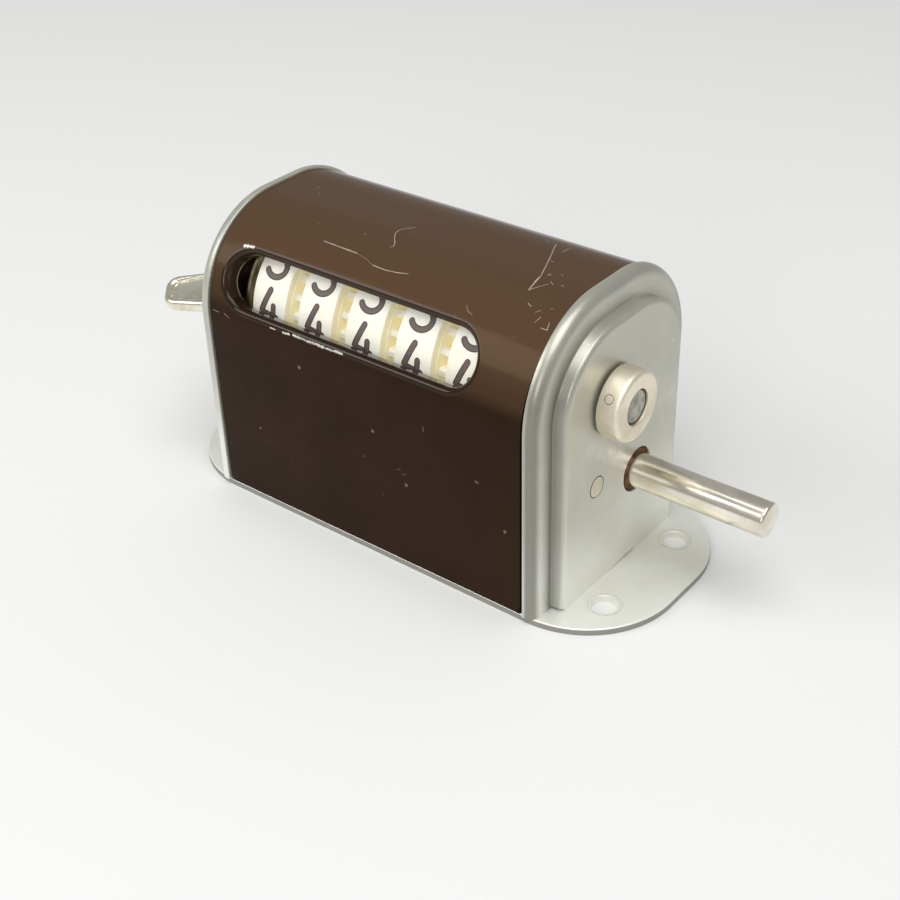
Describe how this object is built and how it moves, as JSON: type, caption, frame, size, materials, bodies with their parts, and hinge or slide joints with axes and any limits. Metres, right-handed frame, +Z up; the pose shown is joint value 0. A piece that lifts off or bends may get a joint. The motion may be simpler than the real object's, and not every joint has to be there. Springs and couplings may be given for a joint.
{
  "type": "mechanical counter",
  "caption": "Revolution counter: round-shouldered cover with a sight window over number wheels, pressed end plates, drive shaft, wing reset handle and slim mounting base.",
  "frame": {"origin": "centre of the four base holes, at the underside of the base plate", "axes": "+X along the case towards the drive shaft, -Y out of the front with the window, +Z up"},
  "size_m": [0.124, 0.046, 0.0567],
  "materials": {
    "enamel": "gloss dark brown baked enamel",
    "zinc_plate": "satin zinc plating",
    "ground_steel": "ground and polished",
    "plain_steel": "turned",
    "spring_steel": "blued",
    "bronze": "sintered, oiled",
    "brass": "cut",
    "wheel_plastic": "moulded ivory",
    "digit_ink": "filled figures",
    "die_cast": "matt die casting",
    "handle_plating": "bright plating"
  },
  "bodies": {
    "case": {"base_plate": "zinc_plate", "cover": "enamel", "left_end_plate": "zinc_plate", "right_end_plate": "zinc_plate", "drive_bushing": "bronze", "pinion_shaft": "ground_steel", "pinion_spacers": "plain_steel", "thrust_sleeve": "plain_steel", "left_bushing": "bronze", "right_bushing": "bronze", "left_spacer": "plain_steel", "right_spacer": "plain_steel", "end_disc": "plain_steel"},
    "drive": {"drive_shaft": "ground_steel", "drive_pinion": "brass", "pinion_ring": "spring_steel", "shaft_ring": "spring_steel"},
    "idler": {"idler_gear": "brass"},
    "reset": {"reset_shaft": "ground_steel", "collar": "die_cast", "collar_pin": "ground_steel", "wing_handle": "handle_plating", "wing_pin": "ground_steel"},
    "units": {"units_wheel": "wheel_plastic", "units_pawl": "spring_steel"},
    "tens": {"tens_wheel": "wheel_plastic", "tens_pawl": "spring_steel"},
    "tens_transfer": {"tens_pinion": "wheel_plastic"},
    "hundreds": {"hundreds_wheel": "wheel_plastic", "hundreds_pawl": "spring_steel"},
    "hundreds_transfer": {"hundreds_pinion": "wheel_plastic"},
    "thousands": {"thousands_wheel": "wheel_plastic", "thousands_pawl": "spring_steel"},
    "thousands_transfer": {"thousands_pinion": "wheel_plastic"},
    "ten_thousands": {"ten_thousands_wheel": "wheel_plastic", "ten_thousands_pawl": "spring_steel"},
    "ten_thousands_transfer": {"ten_thousands_pinion": "wheel_plastic"}
  },
  "joints": [
    {"name": "drive_spin", "type": "hinge", "parent": "case", "child": "drive", "pos_m": [0, 0.0047, 0.0189], "axis": [-1, 0, 0], "continuous": true},
    {"name": "idler_spin", "type": "hinge", "parent": "case", "child": "idler", "pos_m": [0, -0.00815, 0.02225], "axis": [-1, 0, 0], "continuous": true},
    {"name": "units_spin", "type": "hinge", "parent": "case", "child": "units", "pos_m": [0, -0.0039, 0.03765], "axis": [-1, 0, 0], "continuous": true},
    {"name": "tens_spin", "type": "hinge", "parent": "case", "child": "tens", "pos_m": [0, -0.0039, 0.03765], "axis": [-1, 0, 0], "continuous": true},
    {"name": "tens_pinion_spin", "type": "hinge", "parent": "case", "child": "tens_transfer", "pos_m": [0, -0.00815, 0.02225], "axis": [-1, 0, 0], "continuous": true},
    {"name": "hundreds_spin", "type": "hinge", "parent": "case", "child": "hundreds", "pos_m": [0, -0.0039, 0.03765], "axis": [-1, 0, 0], "continuous": true},
    {"name": "hundreds_pinion_spin", "type": "hinge", "parent": "case", "child": "hundreds_transfer", "pos_m": [0, -0.00815, 0.02225], "axis": [-1, 0, 0], "continuous": true},
    {"name": "thousands_spin", "type": "hinge", "parent": "case", "child": "thousands", "pos_m": [0, -0.0039, 0.03765], "axis": [-1, 0, 0], "continuous": true},
    {"name": "thousands_pinion_spin", "type": "hinge", "parent": "case", "child": "thousands_transfer", "pos_m": [0, -0.00815, 0.02225], "axis": [-1, 0, 0], "continuous": true},
    {"name": "ten_thousands_spin", "type": "hinge", "parent": "case", "child": "ten_thousands", "pos_m": [0, -0.0039, 0.03765], "axis": [-1, 0, 0], "continuous": true},
    {"name": "ten_thousands_pinion_spin", "type": "hinge", "parent": "case", "child": "ten_thousands_transfer", "pos_m": [0, -0.00815, 0.02225], "axis": [-1, 0, 0], "continuous": true},
    {"name": "reset_turn", "type": "hinge", "parent": "case", "child": "reset", "pos_m": [0, -0.0039, 0.03765], "axis": [-1, 0, 0], "continuous": true}
  ],
  "couplings": [
    {"joint": "idler_spin", "follows": "drive_spin", "ratio": -0.4},
    {"joint": "units_spin", "follows": "drive_spin", "ratio": 0.1},
    {"joint": "tens_spin", "follows": "drive_spin", "ratio": 0.01},
    {"joint": "tens_pinion_spin", "follows": "drive_spin", "ratio": -0.025},
    {"joint": "hundreds_spin", "follows": "drive_spin", "ratio": 0.001},
    {"joint": "hundreds_pinion_spin", "follows": "drive_spin", "ratio": -0.0025},
    {"joint": "thousands_spin", "follows": "drive_spin", "ratio": 0.0001},
    {"joint": "thousands_pinion_spin", "follows": "drive_spin", "ratio": -0.00025},
    {"joint": "ten_thousands_spin", "follows": "drive_spin", "ratio": 0.00001},
    {"joint": "ten_thousands_pinion_spin", "follows": "drive_spin", "ratio": -0.000025}
  ]
}
